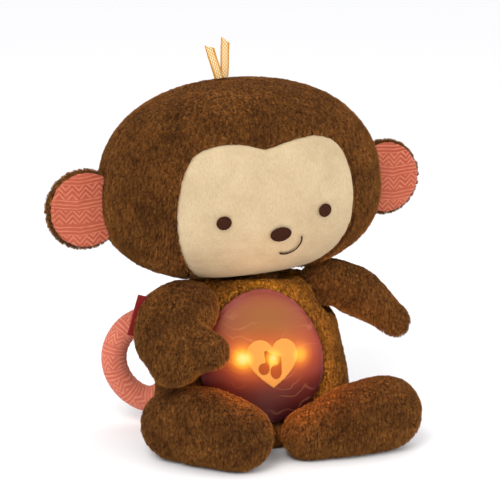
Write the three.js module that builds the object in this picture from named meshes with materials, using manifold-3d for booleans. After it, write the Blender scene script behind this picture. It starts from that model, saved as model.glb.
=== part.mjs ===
// A sitting stuffed monkey with a light-up, musical belly.
//
// Units are millimetres and +Z is up. The monkey faces -Y and its left hand is on +X. The
// origin is the middle of the flat seat of the torso, on the surface that the toy sits on.
// Stuffed pieces are closed solids with the outer shape of the sewn cover. Where two of them
// press on each other, one is cut back so that a small gap is left between them.

import * as THREE from 'three';
import { mergeVertices } from 'three/addons/utils/BufferGeometryUtils.js';
import Module from 'manifold-3d';

const wasm = await Module();
wasm.setup();

// ---- driving dimensions ----

const GAP = 0.4; // left between neighbouring pieces
const LIMB_CLEARANCE = 2.2; // between the limbs and the torso, so that they can swing
const FAR = 120; // further than the toy reaches, for cuts that go right through it

const TORSO_HALF_WIDTH = 70;
const TORSO_BACK_DEPTH = 48;
const TORSO_FRONT_DEPTH = 46;
const BELLY_BULGE = 8; // how far the belly stands out beyond the front depth
const BELLY_BULGE_HEIGHT = 66;
const BELLY_BULGE_SPREAD = 35;

const BELLY_CENTRE_X = -3.5;
const BELLY_CENTRE_Z = 67.5;
const BELLY_HALF_WIDTH = 42.5;
const BELLY_HALF_HEIGHT = 45;
const BELLY_NARROWING = 0.12; // how much slimmer the top of the egg is
const BELLY_FRONT = 1.5; // how far the panel stands out of the torso
const BELLY_BACK = -3; // and how far it reaches in
const BELLY_TRAVEL = 2.5; // how far it can be pressed
const BELLY_OPENING_Y = -24; // depth to which the torso is cut away behind the belly
const HEART_CENTRE_Z = 66;
const HEART_WIDTH = 35.5;

const NECK_CENTRE = new THREE.Vector3(0, 2, 120);
const NECK_RADIUS = 18;
const NECK_FOOT_Z = 114.4;

const HEAD_CENTRE = new THREE.Vector3(-7.5, 4, 186);
const HEAD_HALF = new THREE.Vector3(100.5, 66, 68.5);
const HEAD_SQUARENESS = 2.35; // 2 is an ellipsoid, more is boxier
const HEAD_TAPER = 0.08; // how much slimmer the crown is than the cheeks
const HEAD_TURN = THREE.MathUtils.degToRad(7); // the head looks towards the monkey's left
const HEAD_TILT = THREE.MathUtils.degToRad(-2); // and leans a little to its right
const FACE_DEPTH = 3.5;

const EAR_CENTRE = new THREE.Vector3(113, 2, -12); // from the centre of the head
const EAR_RADIUS = 26.5;
const EAR_RIM = 3.4;
const EAR_THICKNESS = 10;
const EAR_LINING_THICKNESS = 3;

const RIBBON_WIDTH = 6.35;
const RIBBON_THICKNESS = 0.8;
const TAG_WIDTH = 11;
const TAG_LENGTH = 28;
const TAG_THICKNESS = 1.8; // the woven band is folded in two
const TAG_LEAN = 0.28;
const TAG_CENTRE = new THREE.Vector3(-88, -36, 100);

// The round end of each limb sits in a socket of its own in the torso.
const LEFT_SHOULDER = { centre: new THREE.Vector3(50, -10, 106), radius: 17.5 };
const RIGHT_SHOULDER = { centre: new THREE.Vector3(-54, -26, 100.5), radius: 19.5 };
const LEFT_HIP = { centre: new THREE.Vector3(21, -64, 18.3), radius: 18 };
const RIGHT_HIP = { centre: new THREE.Vector3(-64, -38, 25.2), radius: 25 };

const ARM_LIFTS = [8, 16, 24]; // degrees, up to the end of the right arm's swing

const TAIL_CENTRE = new THREE.Vector3(-60, 40, 49);
const TAIL_RING_RADIUS = 31;
const TAIL_ROOT = new THREE.Vector3(-47, 33, 28);
const TAIL_FACING = THREE.MathUtils.degToRad(16); // the plane of the C, turned about Z

const CASE_CENTRE_Z = 60.5;
const CASE_WIDTH = 65;
const CASE_HEIGHT = 77;
const CASE_WALL = 2;
const CASE_SPLIT_Y = -11;
const CASE_BACK_Y = 30;
const CASE_EGG_HALF = 37;
const CASE_RIM_Y = -31;
const CASE_EGG_CENTRE_Z = 62;
const CASE_CORNER = 6;
const SCREW_X = 28.2; // the case screws, to each side of the middle
const SCREW_RISE = 33.8; // and above and below the middle of the case
const WIRE_HOLE = { x: 14, z: 84 };
const BOARD_FRONT_Y = -19.2;
const BOARD_THICKNESS = 1.6;
const LED_HEIGHT_Z = 69;
const LED_SPACING = 20.5;
const SWITCH_Z = 48;
const SPRING_RADIUS = 5.6;
const SPRING_WIRE = 0.4;
const LEAD_RADIUS = 0.9;

const CELL_RADIUS = 7.25; // an AA cell is 14.5 across and 50.5 long
const CELL_LENGTH = 50.5;
const CELL_PITCH = 15;
const CELL_FOOT_Z = 29.5;
const CELL_Y = 18;
const BAY_WIDTH = 47.2;
const BAY_FOOT_Z = 25;
const BAY_TOP_Z = 84.5;
const BAY_FLOOR_Y = 8;
const DOOR_SCREW_Z = 88.2;
const KNOB_Z = 94.5;

const COLOUR = {
  plush: 0x5f3a1c,
  velour: 0xdfc8a1,
  cotton: 0xcf7257,
  thread: 0x4e2a1a,
  ribbon: 0xe3bd70,
  tag: 0x8a2a26,
  belly: 0xa65a35,
  heart: 0xe8a03c,
  case: 0xe9e4d8,
  clear: 0xf6efe0,
  board: 0x2f6b3f,
  light: 0xffc861,
  steel: 0xb8babd,
  cell: 0x3f6f4f,
  dark: 0x2b2b2d,
  strap: 0x4a2f1b,
};

const toy = new THREE.Group();

// ---- making and cutting solids ----

function solidOf(geometry) {
  const bare = geometry.clone();
  bare.deleteAttribute('normal');
  bare.deleteAttribute('uv');
  const merged = mergeVertices(bare, 1e-4);
  const corners = merged.index.array;
  const kept = [];
  for (let i = 0; i < corners.length; i += 3) {
    const [a, b, c] = corners.slice(i, i + 3);
    if (a !== b && b !== c && c !== a) kept.push(a, b, c);
  }
  const vertProperties = new Float32Array(merged.attributes.position.array);
  const triVerts = new Uint32Array(kept);
  return new wasm.Manifold(new wasm.Mesh({ numProp: 3, vertProperties, triVerts }));
}

function geometryOf(solid) {
  const mesh = solid.getMesh();
  const geometry = new THREE.BufferGeometry();
  geometry.setAttribute('position', new THREE.BufferAttribute(mesh.vertProperties, 3));
  geometry.setIndex(new THREE.BufferAttribute(mesh.triVerts, 1));
  geometry.computeVertexNormals();
  return geometry;
}

function addPiece(name, solid, color, roughness = 0.9, metalness = 0) {
  const material = new THREE.MeshStandardMaterial({ color, roughness, metalness });
  const mesh = new THREE.Mesh(geometryOf(solid), material);
  mesh.name = name;
  toy.add(mesh);
}

// A unit sphere with its poles on Z, each point of which is moved by place().
function moulded(around, along, place) {
  const geometry = new THREE.SphereGeometry(1, around, along);
  geometry.rotateX(Math.PI / 2);
  const positions = geometry.attributes.position;
  const point = new THREE.Vector3();
  for (let i = 0; i < positions.count; i += 1) {
    point.fromBufferAttribute(positions, i);
    const moved = place(point);
    positions.setXYZ(i, moved.x, moved.y, moved.z);
  }
  return solidOf(geometry);
}

function ball(centre, radius, around = 24) {
  return moulded(around, around / 2, (point) => point.clone().multiplyScalar(radius).add(centre));
}

// An outline in X and Z, extruded from one Y to another.
function prism(shape, fromY, toY, curveSegments = 12) {
  const depth = toY - fromY;
  const geometry = new THREE.ExtrudeGeometry(shape, { depth, bevelEnabled: false, curveSegments });
  geometry.rotateX(Math.PI / 2);
  geometry.translate(0, toY, 0);
  return solidOf(geometry);
}

function rod(radius, x, z, fromY, toY, sides = 12) {
  const geometry = new THREE.CylinderGeometry(radius, radius, toY - fromY, sides);
  geometry.translate(x, (fromY + toY) / 2, z);
  return solidOf(geometry);
}

function block(width, depth, height, x, y, z) {
  const geometry = new THREE.BoxGeometry(width, depth, height);
  geometry.translate(x, y, z);
  return solidOf(geometry);
}

function eggShape(halfWidth, halfHeight, centreX, centreZ, points = 36) {
  const outline = [];
  for (let i = 0; i < points; i += 1) {
    const angle = (i / points) * 2 * Math.PI;
    const width = halfWidth * (1 - BELLY_NARROWING * Math.sin(angle));
    const x = centreX + width * Math.cos(angle);
    outline.push(new THREE.Vector2(x, centreZ + halfHeight * Math.sin(angle)));
  }
  return new THREE.Shape(outline);
}

function roundedShape(width, height, radius, centreX, centreZ) {
  const shape = new THREE.Shape();
  const left = centreX - width / 2;
  const right = centreX + width / 2;
  const foot = centreZ - height / 2;
  const top = centreZ + height / 2;
  shape.moveTo(left + radius, foot);
  shape.lineTo(right - radius, foot);
  shape.absarc(right - radius, foot + radius, radius, -Math.PI / 2, 0);
  shape.lineTo(right, top - radius);
  shape.absarc(right - radius, top - radius, radius, 0, Math.PI / 2);
  shape.lineTo(left + radius, top);
  shape.absarc(left + radius, top - radius, radius, Math.PI / 2, Math.PI);
  shape.lineTo(left, foot + radius);
  shape.absarc(left + radius, foot + radius, radius, Math.PI, 1.5 * Math.PI);
  return shape;
}

// Round sections strung on a curve, with a hemisphere at each end. radiusAt(t) gives the
// radius along the curve, and capShare is the share of the rings that goes into each end.
function stuffedTube(curve, radiusAt, reference, options = {}) {
  const { around = 18, along = 16, capShare = 0.24 } = options;
  return moulded(around, along, (point) => {
    const share = Math.acos(THREE.MathUtils.clamp(-point.z, -1, 1)) / Math.PI;
    const inCap = Math.min(share, 1 - share) / capShare;
    const capAngle = Math.min(inCap, 1) * (Math.PI / 2);
    const t = THREE.MathUtils.clamp((share - capShare) / (1 - 2 * capShare), 0, 1);
    const tangent = curve.getTangentAt(t);
    const side = new THREE.Vector3().crossVectors(reference, tangent).normalize();
    const up = new THREE.Vector3().crossVectors(tangent, side);
    const radius = radiusAt(t);
    const length = Math.hypot(point.x, point.y) || 1;
    const ring = radius * Math.sin(capAngle);
    const reach = radius * Math.cos(capAngle) * (share < 0.5 ? -1 : 1);
    return curve.getPointAt(t)
      .addScaledVector(side, (ring * point.x) / length)
      .addScaledVector(up, (ring * point.y) / length)
      .addScaledVector(tangent, reach);
  });
}

function route(points) {
  return new THREE.CatmullRomCurve3(points.map((point) => new THREE.Vector3(...point)));
}

function smoothBlend(values) {
  const curve = new THREE.SplineCurve(values.map((value, i) => new THREE.Vector2(i, value)));
  return (t) => curve.getPoint(t).y;
}

// ---- torso ----

// Radius (as a share of the full half width) against height, from the seat to the top.
const TORSO_PROFILE = [
  [0, 0], [0.4, 0], [0.74, 0], [0.87, 3.5], [0.955, 11], [0.995, 24], [1, 38], [0.965, 54],
  [0.91, 70], [0.85, 86], [0.79, 99], [0.735, 108], [0.67, 114], [0.58, 116.5], [0.47, 116],
  [0.36, 113], [0, 113],
];

const TORSO_SEGMENTS = 40;

// The torso's outer surface, moved outwards by offset.
function torsoBody(offset) {
  const profile = TORSO_PROFILE.map(([radius, height]) => new THREE.Vector2(radius, height));
  const geometry = new THREE.LatheGeometry(profile, TORSO_SEGMENTS);
  geometry.rotateX(Math.PI / 2);
  const positions = geometry.attributes.position;
  for (let i = 0; i < positions.count; i += 1) {
    const height = positions.getZ(i);
    const across = positions.getX(i);
    const back = positions.getY(i);
    const fromBelly = (height - BELLY_BULGE_HEIGHT) / BELLY_BULGE_SPREAD;
    const bulge = BELLY_BULGE * Math.exp(-(fromBelly ** 2));
    const depth = back < 0 ? TORSO_FRONT_DEPTH + bulge : TORSO_BACK_DEPTH;
    const spread = Math.hypot(across, back) || 1;
    positions.setX(i, across * TORSO_HALF_WIDTH + (offset * across) / spread);
    positions.setY(i, back * depth + (offset * back) / spread);
  }
  return solidOf(geometry);
}

// The layer between two offsets of the torso's surface, inside an outline seen from the front
// (side -1) or from the back (side 1).
function torsoSkin(shape, innerOffset, outerOffset, side) {
  const column = side < 0 ? prism(shape, -FAR, -8) : prism(shape, 8, FAR);
  return torsoBody(outerOffset).subtract(torsoBody(innerOffset)).intersect(column);
}

function buildTorso() {
  const bellyHole = eggShape(BELLY_HALF_WIDTH + GAP, BELLY_HALF_HEIGHT + GAP, BELLY_CENTRE_X, BELLY_CENTRE_Z);
  const caseHole = eggShape(CASE_EGG_HALF + GAP, CASE_EGG_HALF + GAP, 0, CASE_EGG_CENTRE_Z);
  const rearPocket = roundedShape(CASE_WIDTH + 2 * GAP, CASE_HEIGHT + 2 * GAP, CASE_CORNER, 0, CASE_CENTRE_Z);
  let body = torsoBody(0).subtract(prism(bellyHole, -FAR, BELLY_OPENING_Y));
  body = body.subtract(prism(caseHole, BELLY_OPENING_Y - 1, CASE_SPLIT_Y));
  body = body.subtract(prism(rearPocket, CASE_SPLIT_Y - CASE_WALL - 2 * GAP, FAR, 4));
  for (const { centre, radius } of [LEFT_SHOULDER, RIGHT_SHOULDER, LEFT_HIP, RIGHT_HIP]) {
    body = body.subtract(ball(centre, radius + GAP, 28));
  }
  addPiece('torso_plush', body, COLOUR.plush);

  const neck = ball(NECK_CENTRE, NECK_RADIUS).intersect(block(80, 80, 60, 0, 0, NECK_FOOT_Z + 30));
  addPiece('neck_plush', neck, COLOUR.plush);
}

function buildBelly() {
  const panel = eggShape(BELLY_HALF_WIDTH, BELLY_HALF_HEIGHT, BELLY_CENTRE_X, BELLY_CENTRE_Z);
  addPiece('belly_panel', torsoSkin(panel, BELLY_BACK, BELLY_FRONT, -1), COLOUR.belly, 0.45);

  const half = HEART_WIDTH / 2;
  const at = (x, z) => [x * half, HEART_CENTRE_Z + z * half];
  const heart = new THREE.Shape();
  heart.moveTo(...at(0, -1));
  heart.bezierCurveTo(...at(0.75, -0.45), ...at(1.15, 0), ...at(1, 0.45));
  heart.bezierCurveTo(...at(0.85, 0.95), ...at(0.2, 1), ...at(0, 0.55));
  heart.bezierCurveTo(...at(-0.2, 1), ...at(-0.85, 0.95), ...at(-1, 0.45));
  heart.bezierCurveTo(...at(-1.15, 0), ...at(-0.75, -0.45), ...at(0, -1));
  addPiece('heart_badge', torsoSkin(heart, BELLY_FRONT + GAP, 2.9, -1), COLOUR.heart, 0.4);
}

// ---- the sound and light unit ----

function buildCase() {
  const mouth = eggShape(CASE_EGG_HALF - CASE_WALL, CASE_EGG_HALF - CASE_WALL, 0, CASE_EGG_CENTRE_Z);
  const outside = eggShape(CASE_EGG_HALF, CASE_EGG_HALF, 0, CASE_EGG_CENTRE_Z);
  let front = prism(outside, CASE_RIM_Y, CASE_SPLIT_Y - GAP);
  front = front.subtract(prism(mouth, CASE_RIM_Y - 1, CASE_SPLIT_Y - GAP - CASE_WALL));
  for (const x of [-9, -3, 3, 9]) {
    front = front.subtract(block(2.4, 10, 18, x, CASE_SPLIT_Y, CASE_EGG_CENTRE_Z));
  }
  const screwSpots = [];
  for (const x of [-SCREW_X, SCREW_X]) {
    for (const rise of [-SCREW_RISE, SCREW_RISE]) screwSpots.push([x, CASE_CENTRE_Z + rise]);
  }
  const flangeShape = roundedShape(CASE_WIDTH, CASE_HEIGHT, CASE_CORNER, 0, CASE_CENTRE_Z);
  let flange = prism(flangeShape, CASE_SPLIT_Y - GAP - CASE_WALL, CASE_SPLIT_Y - GAP, 4);
  flange = flange.subtract(prism(mouth, -30, 0));
  front = front.add(flange);
  for (const [x, z] of screwSpots) front = front.subtract(rod(1.9, x, z, -20, 0));
  for (const side of [-1, 1]) front = front.subtract(rod(2, side * WIRE_HOLE.x, WIRE_HOLE.z, -20, 0));
  addPiece('front_shell', front, COLOUR.case, 0.5);

  let rear = prism(flangeShape, CASE_SPLIT_Y, CASE_BACK_Y, 4);
  const lessWalls = 2 * CASE_WALL;
  const inside = roundedShape(CASE_WIDTH - lessWalls, CASE_HEIGHT - lessWalls, 4, 0, CASE_CENTRE_Z);
  let cavity = prism(inside, CASE_SPLIT_Y - 1, BAY_FLOOR_Y - CASE_WALL, 3);
  for (const [x, z] of screwSpots) cavity = cavity.subtract(rod(4.4, x, z, -20, 20));
  rear = rear.subtract(cavity);
  const bayHeight = BAY_TOP_Z - BAY_FOOT_Z;
  const bayCentre = (BAY_TOP_Z + BAY_FOOT_Z) / 2;
  rear = rear.subtract(block(BAY_WIDTH, 40, bayHeight, 0, BAY_FLOOR_Y + 20, bayCentre));
  rear = rear.subtract(block(14, 40, 4.6, 0, 42, KNOB_Z));
  rear = rear.subtract(rod(1.9, 0, DOOR_SCREW_Z, 20, 40));
  rear = rear.subtract(rod(2, -14, 40, 0, 12));
  for (const [x, z] of screwSpots) {
    rear = rear.subtract(rod(3.2, x, z, CASE_SPLIT_Y + 5, 40));
    rear = rear.subtract(rod(1.9, x, z, CASE_SPLIT_Y - 1, CASE_SPLIT_Y + 6));
  }
  addPiece('rear_shell', rear, COLOUR.case, 0.5);

  screwSpots.forEach(([x, z], i) => {
    const head = rod(2.7, x, z, CASE_SPLIT_Y + 5.4, CASE_SPLIT_Y + 7.4);
    const shank = rod(1.5, x, z, CASE_SPLIT_Y - 2, CASE_SPLIT_Y + 6);
    addPiece(`case_screw_${i + 1}`, head.add(shank), COLOUR.steel, 0.35, 0.9);
  });
}

function buildPress() {
  const plateFront = CASE_RIM_Y;
  const plateBack = CASE_RIM_Y + 3;
  const half = CASE_EGG_HALF - CASE_WALL - GAP;
  let plate = prism(eggShape(half, half, 0, CASE_EGG_CENTRE_Z), plateFront, plateBack);
  plate = plate.add(rod(3, 0, SWITCH_Z, plateBack - 0.5, plateBack + 1.2));
  addPiece('press_plate', plate, COLOUR.clear, 0.35);

  const turns = 4;
  const springFront = plateBack + 0.7;
  const springBack = BOARD_FRONT_Y - 0.8;
  class Helix extends THREE.Curve {
    getPoint(t, target = new THREE.Vector3()) {
      const angle = t * turns * 2 * Math.PI;
      const y = springFront + (springBack - springFront) * t;
      return target.set(SPRING_RADIUS * Math.cos(angle), y, SWITCH_Z + SPRING_RADIUS * Math.sin(angle));
    }
  }
  addPiece('press_spring', bentWire(new Helix(), SPRING_WIRE, 6, 48), COLOUR.steel, 0.3, 0.9);
}

// A round wire with the given number of sides, swept along a curve in a number of steps.
function bentWire(curve, radius, sides, steps) {
  const corners = new THREE.EllipseCurve(0, 0, radius, radius).getPoints(sides).slice(0, sides);
  const section = new THREE.Shape(corners);
  return solidOf(new THREE.ExtrudeGeometry(section, { steps, extrudePath: curve, bevelEnabled: false }));
}

// A profile of [radius, height] turned round an axis along Y.
function lathePiece(profile, segments, x, z, faceY) {
  const geometry = new THREE.LatheGeometry(profile.map(([r, h]) => new THREE.Vector2(r, h)), segments);
  geometry.translate(x, faceY, z);
  return solidOf(geometry);
}

function buildElectronics() {
  const boardBack = BOARD_FRONT_Y + BOARD_THICKNESS;
  const board = roundedShape(46, 44, 3, 0, CASE_EGG_CENTRE_Z - 1);
  addPiece('circuit_board', prism(board, BOARD_FRONT_Y, boardBack, 3), COLOUR.board, 0.5);

  const ledProfile = [
    [0, -5.6], [1.2, -5.4], [2.1, -4.6], [2.5, -3.4], [2.5, -0.9], [2.9, -0.9], [2.9, 0], [0, 0],
  ];
  [-1, 0, 1].forEach((place, i) => {
    const led = lathePiece(ledProfile, 12, place * LED_SPACING, LED_HEIGHT_Z, BOARD_FRONT_Y - 0.1);
    addPiece(`led_${['right', 'middle', 'left'][i]}`, led, COLOUR.light, 0.2);
  });

  const tactBody = block(6, 3.4, 6, 0, BOARD_FRONT_Y - 1.8, SWITCH_Z);
  const tactButton = rod(1.7, 0, SWITCH_Z, BOARD_FRONT_Y - 4.4, BOARD_FRONT_Y - 3);
  addPiece('tact_switch', tactBody.add(tactButton), COLOUR.dark, 0.6);

  const speakerProfile = [
    [0, -7.5], [6, -7.9], [16, -10.4], [20, -10.4], [20, -8.9], [17.5, -8.9], [12, -2], [11, -2],
    [11, 3], [0, 3],
  ];
  addPiece('speaker', lathePiece(speakerProfile, 24, 0, CASE_EGG_CENTRE_Z, 0), COLOUR.dark, 0.6);

  const { x, z } = WIRE_HOLE;
  const end = boardBack + 0.4;
  const speakerRun = route([[x, 1.6, 68], [16, 3, 76], [x, -2, z], [x, -8, z], [x, end, z]]);
  const batteryRun = route([
    [-x, 7.6, 40], [-x, 2, 40], [-20, 0, 56], [-19, 0, 74], [-x, -4, z], [-x, end, z],
  ]);
  addPiece('speaker_wire', bentWire(speakerRun, LEAD_RADIUS, 8, 18), COLOUR.tag, 0.6);
  addPiece('battery_wire', bentWire(batteryRun, LEAD_RADIUS, 8, 18), COLOUR.tag, 0.6);
}

function buildBatteries() {
  const zTop = CELL_FOOT_Z + CELL_LENGTH;
  for (let i = 0; i < 3; i += 1) {
    const x = (i - 1) * CELL_PITCH;
    const can = new THREE.CylinderGeometry(CELL_RADIUS, CELL_RADIUS, CELL_LENGTH - 1, 20);
    can.rotateX(Math.PI / 2);
    can.translate(x, CELL_Y, CELL_FOOT_Z + (CELL_LENGTH - 1) / 2);
    const button = new THREE.CylinderGeometry(2.7, 2.7, 2, 12);
    button.rotateX(Math.PI / 2);
    button.translate(x, CELL_Y, zTop - 1);
    addPiece(`battery_${i + 1}`, solidOf(can).add(solidOf(button)), COLOUR.cell, 0.35, 0.3);
  }
  const plateWidth = 3 * CELL_PITCH - 1;
  let springPlate = block(plateWidth, 12, 0.8, 0, CELL_Y, BAY_FOOT_Z + 0.8);
  let buttonPlate = block(plateWidth, 12, 0.8, 0, CELL_Y, BAY_TOP_Z - 0.8);
  for (let i = -1; i <= 1; i += 1) {
    const cone = new THREE.CylinderGeometry(2.4, 4.2, 3, 12);
    cone.rotateX(Math.PI / 2);
    cone.translate(i * CELL_PITCH, CELL_Y, BAY_FOOT_Z + 2.5);
    springPlate = springPlate.add(solidOf(cone));
    const bump = new THREE.CylinderGeometry(2.2, 2.2, 3, 12);
    bump.rotateX(Math.PI / 2);
    bump.translate(i * CELL_PITCH, CELL_Y, BAY_TOP_Z - 2.6);
    buttonPlate = buttonPlate.add(solidOf(bump));
  }
  addPiece('contact_spring_plate', springPlate, COLOUR.steel, 0.3, 0.9);
  addPiece('contact_button_plate', buttonPlate, COLOUR.steel, 0.3, 0.9);

  const doorY = CASE_BACK_Y + GAP;
  let door = prism(roundedShape(55, 67, 3, 0, 57.2), doorY, doorY + 2, 3);
  door = door.subtract(rod(1.9, 0, DOOR_SCREW_Z, 20, 40));
  for (let i = 0; i < 4; i += 1) {
    door = door.add(block(22, 0.9, 1.4, 0, doorY + 2.3, 38 + 4 * i));
  }
  addPiece('battery_door', door, COLOUR.case, 0.5);
  const screwHead = rod(3, 0, DOOR_SCREW_Z, doorY + 2.3, doorY + 4.2);
  const screw = screwHead.add(rod(1.5, 0, DOOR_SCREW_Z, 23, doorY + 3));
  addPiece('door_screw', screw, COLOUR.steel, 0.35, 0.9);

  const knob = block(6, 4.6, 3.8, 0, 32.7, KNOB_Z).add(block(6.4, 6, 3.8, 0, 27.4, KNOB_Z));
  addPiece('volume_knob', knob, COLOUR.dark, 0.6);
}

function buildBackFlap() {
  const flap = roundedShape(78, 92, 8, 3, 61);
  addPiece('back_flap', torsoSkin(flap, 3.1, 5.6, 1), COLOUR.plush);
  const hooks = roundedShape(4.4, 60, 1, -33.2, 61);
  addPiece('torso_hook_strip', torsoSkin(hooks, GAP, 1.3, 1), COLOUR.strap);
  addPiece('flap_loop_strip', torsoSkin(hooks, 1.7, 2.7, 1), COLOUR.strap);
}

// ---- head ----

// The head's surface, moved outwards by offset: a rounded box that is widest low down.
function headBody(offset, around = 36, along = 24) {
  const power = 2 / HEAD_SQUARENESS;
  const rounded = (value) => Math.sign(value) * Math.abs(value) ** power;
  return moulded(around, along, (point) => {
    const ring = Math.hypot(point.x, point.y) || 1;
    const ringSize = rounded(ring);
    const height = rounded(point.z);
    const across = ringSize * rounded(point.x / ring) * (1 - HEAD_TAPER * height);
    const back = ringSize * rounded(point.y / ring);
    return new THREE.Vector3(across * (HEAD_HALF.x + offset), back * (HEAD_HALF.y + offset),
      height * (HEAD_HALF.z + offset));
  });
}

// Turns a solid made round the head's own centre and sets it on the neck.
function setOnNeck(solid) {
  const pose = new THREE.Matrix4().makeRotationZ(HEAD_TURN);
  pose.multiply(new THREE.Matrix4().makeRotationY(HEAD_TILT)).setPosition(HEAD_CENTRE);
  return solid.transform(pose.elements);
}

// Two brow lobes that meet in a dip, cheeks, and a chin that runs down under the head.
function faceShape(inset) {
  const outline = [
    [-6, 28.5], [14, 33], [34, 34], [50, 26], [59, 8], [62, -14], [59, -36], [47, -56], [26, -70],
    [0, -76], [-28, -71], [-51, -58], [-64, -38], [-68, -14], [-64, 10], [-54, 27], [-38, 33], [-20, 32.5],
  ];
  const spline = new THREE.SplineCurve([...outline, outline[0]].map(([x, z]) => new THREE.Vector2(x, z)));
  const points = spline.getPoints(54).slice(0, 54);
  const centre = new THREE.Vector2(0, -20);
  return new THREE.Shape(points.map((point) => {
    const arm = point.clone().sub(centre);
    return centre.clone().add(arm.setLength(arm.length() - inset));
  }));
}

// A thin patch on the face between two offsets of the head's surface.
function facePatch(shape, innerOffset, outerOffset, curveSegments = 10) {
  const column = prism(shape, -120, -8, curveSegments);
  return headBody(outerOffset).subtract(headBody(innerOffset)).intersect(column);
}

function ellipseShape(x, z, halfWidth, halfHeight, points = 14) {
  const outline = new THREE.EllipseCurve(x, z, halfWidth, halfHeight).getPoints(points).slice(0, points);
  return new THREE.Shape(outline);
}

function smileShape() {
  const centre = new THREE.Vector2(8, -37);
  const radius = 10.8;
  const half = 0.8;
  const [from, to] = [1.33 * Math.PI, 2.1 * Math.PI];
  const shape = new THREE.Shape();
  shape.absarc(centre.x, centre.y, radius + half, from, to, false);
  shape.absarc(centre.x, centre.y, radius - half, to, from, true);
  return shape;
}

function buildHead() {
  const pocket = prism(faceShape(0), -120, -8).subtract(headBody(-FACE_DEPTH - GAP));
  const neckDent = ball(NECK_CENTRE, NECK_RADIUS + GAP, 28);
  addPiece('head_plush', setOnNeck(headBody(0).subtract(pocket)).subtract(neckDent), COLOUR.plush);

  const face = setOnNeck(facePatch(faceShape(GAP), -FACE_DEPTH, 0));
  addPiece('face_panel', face.subtract(neckDent), COLOUR.velour);
  const patches = {
    eye_right: ellipseShape(-38, -18.5, 5, 4.7),
    eye_left: ellipseShape(35, -17.5, 4.8, 4.7),
    nose: ellipseShape(2.5, -30.5, 7.6, 5, 18),
    mouth: smileShape(),
  };
  for (const [name, shape] of Object.entries(patches)) {
    addPiece(name, setOnNeck(facePatch(shape, GAP, 1.5)), COLOUR.thread, 0.6);
  }

  for (const [side, sign] of [['right', -1], ['left', 1]]) {
    const [x, y, z] = [sign * EAR_CENTRE.x, EAR_CENTRE.y, EAR_CENTRE.z];
    const profile = [
      [0, 0], [EAR_RADIUS - 3, 0], [EAR_RADIUS, 3.4], [EAR_RADIUS, EAR_THICKNESS - 2.5],
      [EAR_RADIUS - 2, EAR_THICKNESS], [0, EAR_THICKNESS],
    ];
    const clear = headBody(1.6);
    const front = y - EAR_THICKNESS / 2;
    const disc = lathePiece(profile, 30, x, z, front);
    const lined = EAR_RADIUS - EAR_RIM;
    const liningBack = front + EAR_LINING_THICKNESS;
    const recess = rod(lined + GAP, x, z, y - EAR_THICKNESS, liningBack + GAP, 30);
    const lining = rod(lined, x, z, front, liningBack, 30);
    addPiece(`ear_${side}_back`, setOnNeck(disc.subtract(recess).subtract(clear)), COLOUR.plush);
    addPiece(`ear_${side}_lining`, setOnNeck(lining.subtract(clear)), COLOUR.cotton);
  }

  const strips = {
    ribbon_right: { foot: -12.5, back: 1, lean: -0.26, length: 27 },
    ribbon_left: { foot: -8.5, back: 3, lean: 0.08, length: 30 },
  };
  for (const [name, { foot, back, lean, length }] of Object.entries(strips)) {
    const strip = new THREE.Shape();
    const half = RIBBON_WIDTH / 2;
    strip.moveTo(-half, -6);
    strip.lineTo(half, -6);
    strip.lineTo(half, length - 4);
    strip.lineTo(-half, length);
    const band = new THREE.ExtrudeGeometry(strip, { depth: RIBBON_THICKNESS, bevelEnabled: false });
    band.rotateX(Math.PI / 2);
    band.rotateY(lean);
    band.translate(foot, back, HEAD_HALF.z - 2);
    addPiece(name, setOnNeck(solidOf(band).subtract(headBody(GAP))), COLOUR.ribbon, 0.6);
  }
}

// ---- limbs and tail ----

// The limb, cut back so that it stays clear of the torso when it is turned about a vertical
// axis to each of the angles. The round end in the socket stays whole.
function clearOfTorso(limb, { centre, radius }, angles) {
  const socket = ball(centre, radius);
  let cleared = limb.subtract(torsoBody(LIMB_CLEARANCE).subtract(socket));
  for (const angle of angles) {
    const turned = new THREE.Matrix4().makeTranslation(centre);
    turned.multiply(new THREE.Matrix4().makeRotationZ(THREE.MathUtils.degToRad(angle)));
    turned.multiply(new THREE.Matrix4().makeTranslation(centre.clone().negate()));
    cleared = cleared.subtract(torsoBody(GAP).transform(turned.elements).subtract(socket));
  }
  return cleared;
}

// The limb, cut back so that it stays clear of the belly panel, pressed or not, when it is
// lifted about the axis through its shoulder.
function clearOfBelly(limb, { centre }) {
  const outline = eggShape(BELLY_HALF_WIDTH + GAP, BELLY_HALF_HEIGHT + GAP, BELLY_CENTRE_X, BELLY_CENTRE_Z);
  const panel = torsoSkin(outline, BELLY_BACK - GAP, BELLY_FRONT + GAP, -1);
  let cleared = limb;
  for (const lift of ARM_LIFTS) {
    const turned = new THREE.Matrix4().makeTranslation(centre);
    turned.multiply(new THREE.Matrix4().makeRotationX(THREE.MathUtils.degToRad(lift)));
    turned.multiply(new THREE.Matrix4().makeTranslation(centre.clone().negate()));
    for (const pressed of [0, BELLY_TRAVEL / 2, BELLY_TRAVEL]) {
      const inTheWay = panel.translate([0, pressed, 0]).transform(turned.elements);
      cleared = cleared.subtract(inTheWay);
    }
  }
  return cleared;
}

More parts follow.
